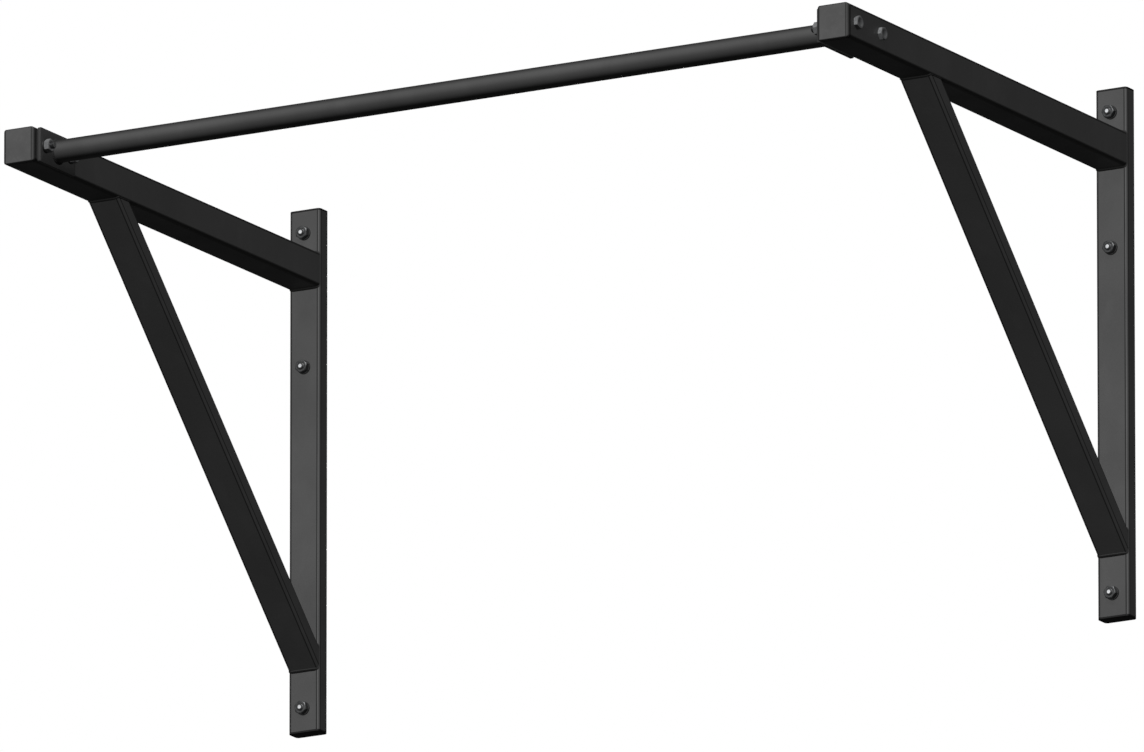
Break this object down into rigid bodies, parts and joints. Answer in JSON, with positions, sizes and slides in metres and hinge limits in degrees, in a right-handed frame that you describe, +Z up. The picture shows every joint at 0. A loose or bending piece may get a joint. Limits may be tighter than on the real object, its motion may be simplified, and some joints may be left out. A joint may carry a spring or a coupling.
{
  "type": "pull up bar",
  "caption": "Wall-mounted pull-up bar: a round steel bar bolted between two braced tube brackets that fix to a wall and hold it clear for hanging and pulling up.",
  "frame": {"origin": "on the wall plane, at the centre of the rectangle of the four outer wall studs: midway between the two brackets and at mid-height of the uprights", "axes": "+X along the bar (to the right when facing the wall), +Y into the wall, +Z up; the arms reach out along -Y"},
  "size_m": [1.3628, 0.833, 0.76],
  "materials": {
    "frame_paint": "black powder coat, fine orange peel, satin",
    "bar_paint": "black powder coat, satin, slightly smoother than the brackets",
    "weld_paint": "black powder coat over a weld bead",
    "cap_plastic": "black moulded polyethylene, fine grain",
    "bolt_zinc": "bright zinc plated",
    "nut_zinc": "bright zinc plated",
    "washer_zinc": "bright zinc plated, stamped"
  },
  "bodies": {
    "root": {"pull_up_bar": "bar_paint", "left_upright": "frame_paint", "left_arm": "frame_paint", "left_brace": "frame_paint", "left_flange_plate": "frame_paint", "left_arm_end_cap": "cap_plastic", "left_upright_top_cap": "cap_plastic", "left_upright_bottom_cap": "cap_plastic", "left_arm_weld": "weld_paint", "left_brace_foot_weld": "weld_paint", "left_brace_top_weld": "weld_paint", "left_bar_weld": "weld_paint", "left_front_bar_bolt": "bolt_zinc", "left_front_bar_nut": "nut_zinc", "left_front_bar_washer": "washer_zinc", "left_rear_bar_bolt": "bolt_zinc", "left_rear_bar_nut": "nut_zinc", "left_rear_bar_washer": "washer_zinc", "left_top_wall_stud": "bolt_zinc", "left_top_wall_nut": "nut_zinc", "left_top_wall_washer": "washer_zinc", "left_middle_wall_stud": "bolt_zinc", "left_middle_wall_nut": "nut_zinc", "left_middle_wall_washer": "washer_zinc", "left_bottom_wall_stud": "bolt_zinc", "left_bottom_wall_nut": "nut_zinc", "left_bottom_wall_washer": "washer_zinc", "right_upright": "frame_paint", "right_arm": "frame_paint", "right_brace": "frame_paint", "right_flange_plate": "frame_paint", "right_arm_end_cap": "cap_plastic", "right_upright_top_cap": "cap_plastic", "right_upright_bottom_cap": "cap_plastic", "right_arm_weld": "weld_paint", "right_brace_foot_weld": "weld_paint", "right_brace_top_weld": "weld_paint", "right_bar_weld": "weld_paint", "right_front_bar_bolt": "bolt_zinc", "right_front_bar_nut": "nut_zinc", "right_front_bar_washer": "washer_zinc", "right_rear_bar_bolt": "bolt_zinc", "right_rear_bar_nut": "nut_zinc", "right_rear_bar_washer": "washer_zinc", "right_top_wall_stud": "bolt_zinc", "right_top_wall_nut": "nut_zinc", "right_top_wall_washer": "washer_zinc", "right_middle_wall_stud": "bolt_zinc", "right_middle_wall_nut": "nut_zinc", "right_middle_wall_washer": "washer_zinc", "right_bottom_wall_stud": "bolt_zinc", "right_bottom_wall_nut": "nut_zinc", "right_bottom_wall_washer": "washer_zinc"}
  },
  "joints": []
}
